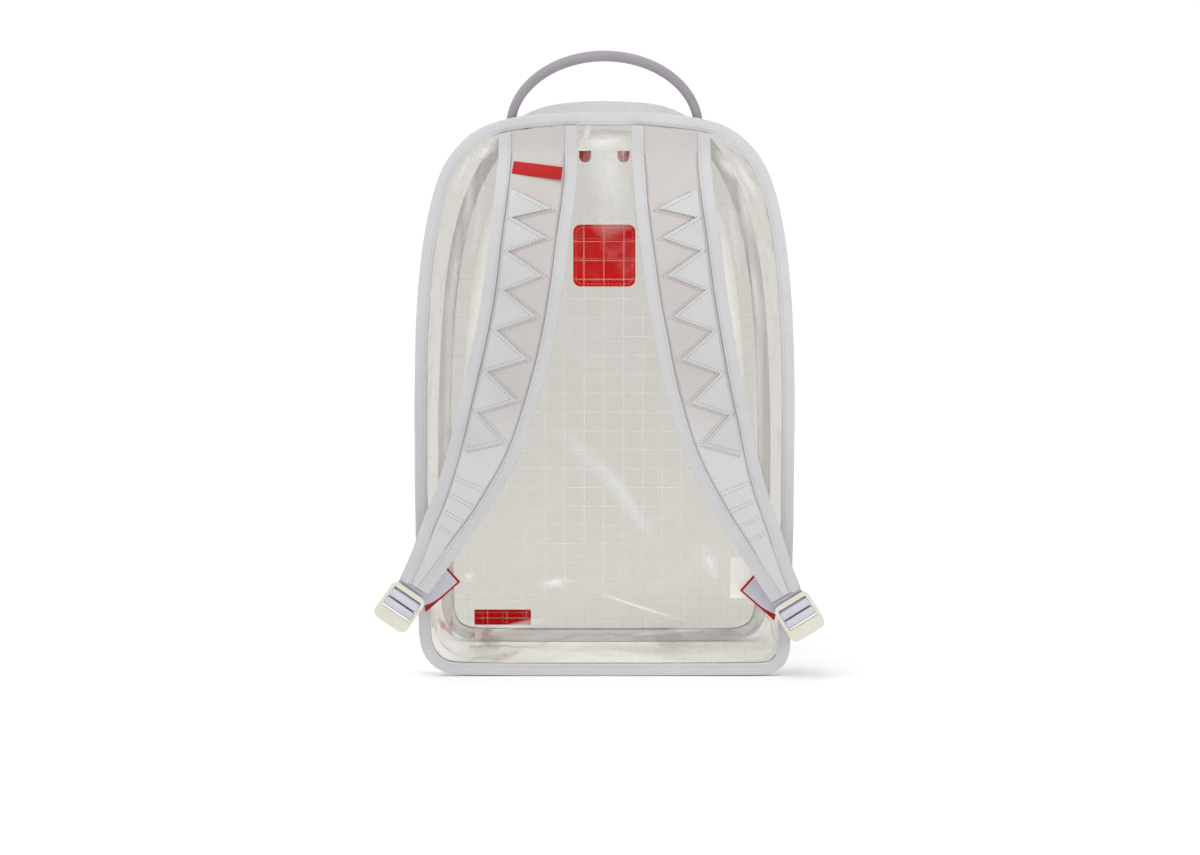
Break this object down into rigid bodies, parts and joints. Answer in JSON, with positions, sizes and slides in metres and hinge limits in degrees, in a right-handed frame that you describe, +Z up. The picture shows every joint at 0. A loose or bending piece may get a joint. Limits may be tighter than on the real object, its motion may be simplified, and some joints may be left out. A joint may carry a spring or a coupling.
{
  "type": "clear backpack",
  "caption": "Clear film backpack with bound edges, an arched front zip, padded shoulder straps on ladder buckles and a carry handle.",
  "frame": {"origin": "middle of the bottom edge of the back seam's binding, where the bag stands on the floor", "axes": "+Z up, -Y towards the wearer's back (the strap side), +Y towards the zipped front, +X to the right seen from the strap side"},
  "size_m": [0.3623, 0.2011, 0.503],
  "materials": {
    "clear_film": "glossy clear PVC with a woven grid of fine threads",
    "binding_tape": "white woven binding tape",
    "strap_cloth": "warm white nylon over foam",
    "overlay_cloth": "cool white nylon, stitched zigzag edge",
    "webbing": "lilac white ribbed webbing",
    "handle_cloth": "lilac grey webbing band",
    "zip_tape": "white zip tape",
    "zip_teeth": "white coil teeth",
    "slider_metal": "plated slider",
    "red_film": "glossy red film patch",
    "red_cloth": "red tab cloth",
    "red_rubber": "soft red zip pull",
    "buckle_plastic": "cream moulded acetal",
    "label_cloth": "plain white satin label"
  },
  "bodies": {
    "bag": {"back_panel": "clear_film", "side_gusset": "clear_film", "bottom_panel": "clear_film", "front_panel": "clear_film", "front_band": "clear_film", "back_binding": "binding_tape", "front_binding": "binding_tape", "zip_tape": "zip_tape", "zip_teeth": "zip_teeth", "zip_slider_left": "slider_metal", "zip_slider_right": "slider_metal", "carry_handle": "handle_cloth", "strap_pad_left": "strap_cloth", "strap_pad_right": "strap_cloth", "strap_binding_outer_left": "binding_tape", "strap_binding_inner_left": "binding_tape", "strap_binding_outer_right": "binding_tape", "strap_binding_inner_right": "binding_tape", "strap_overlay_left": "overlay_cloth", "strap_overlay_right": "overlay_cloth", "strap_label": "red_film", "strap_tongue_left": "webbing", "strap_tongue_right": "webbing", "webbing_left": "webbing", "webbing_right": "webbing", "buckle_left": "buckle_plastic", "buckle_right": "buckle_plastic", "seam_tab_left": "red_cloth", "seam_tab_right": "red_cloth", "front_patch": "red_film", "front_bar_label": "red_film", "inner_label": "label_cloth"},
    "pull_left": {"zip_pull_left": "red_rubber"},
    "pull_right": {"zip_pull_right": "red_rubber"}
  },
  "joints": [
    {"name": "pull_left_hinge", "type": "hinge", "parent": "bag", "child": "pull_left", "pos_m": [-0.016, 0.15335, 0.424], "axis": [1, 0, 0], "range_deg": [0, 150]},
    {"name": "pull_right_hinge", "type": "hinge", "parent": "bag", "child": "pull_right", "pos_m": [0.016, 0.15335, 0.424], "axis": [1, 0, 0], "range_deg": [0, 150]}
  ]
}
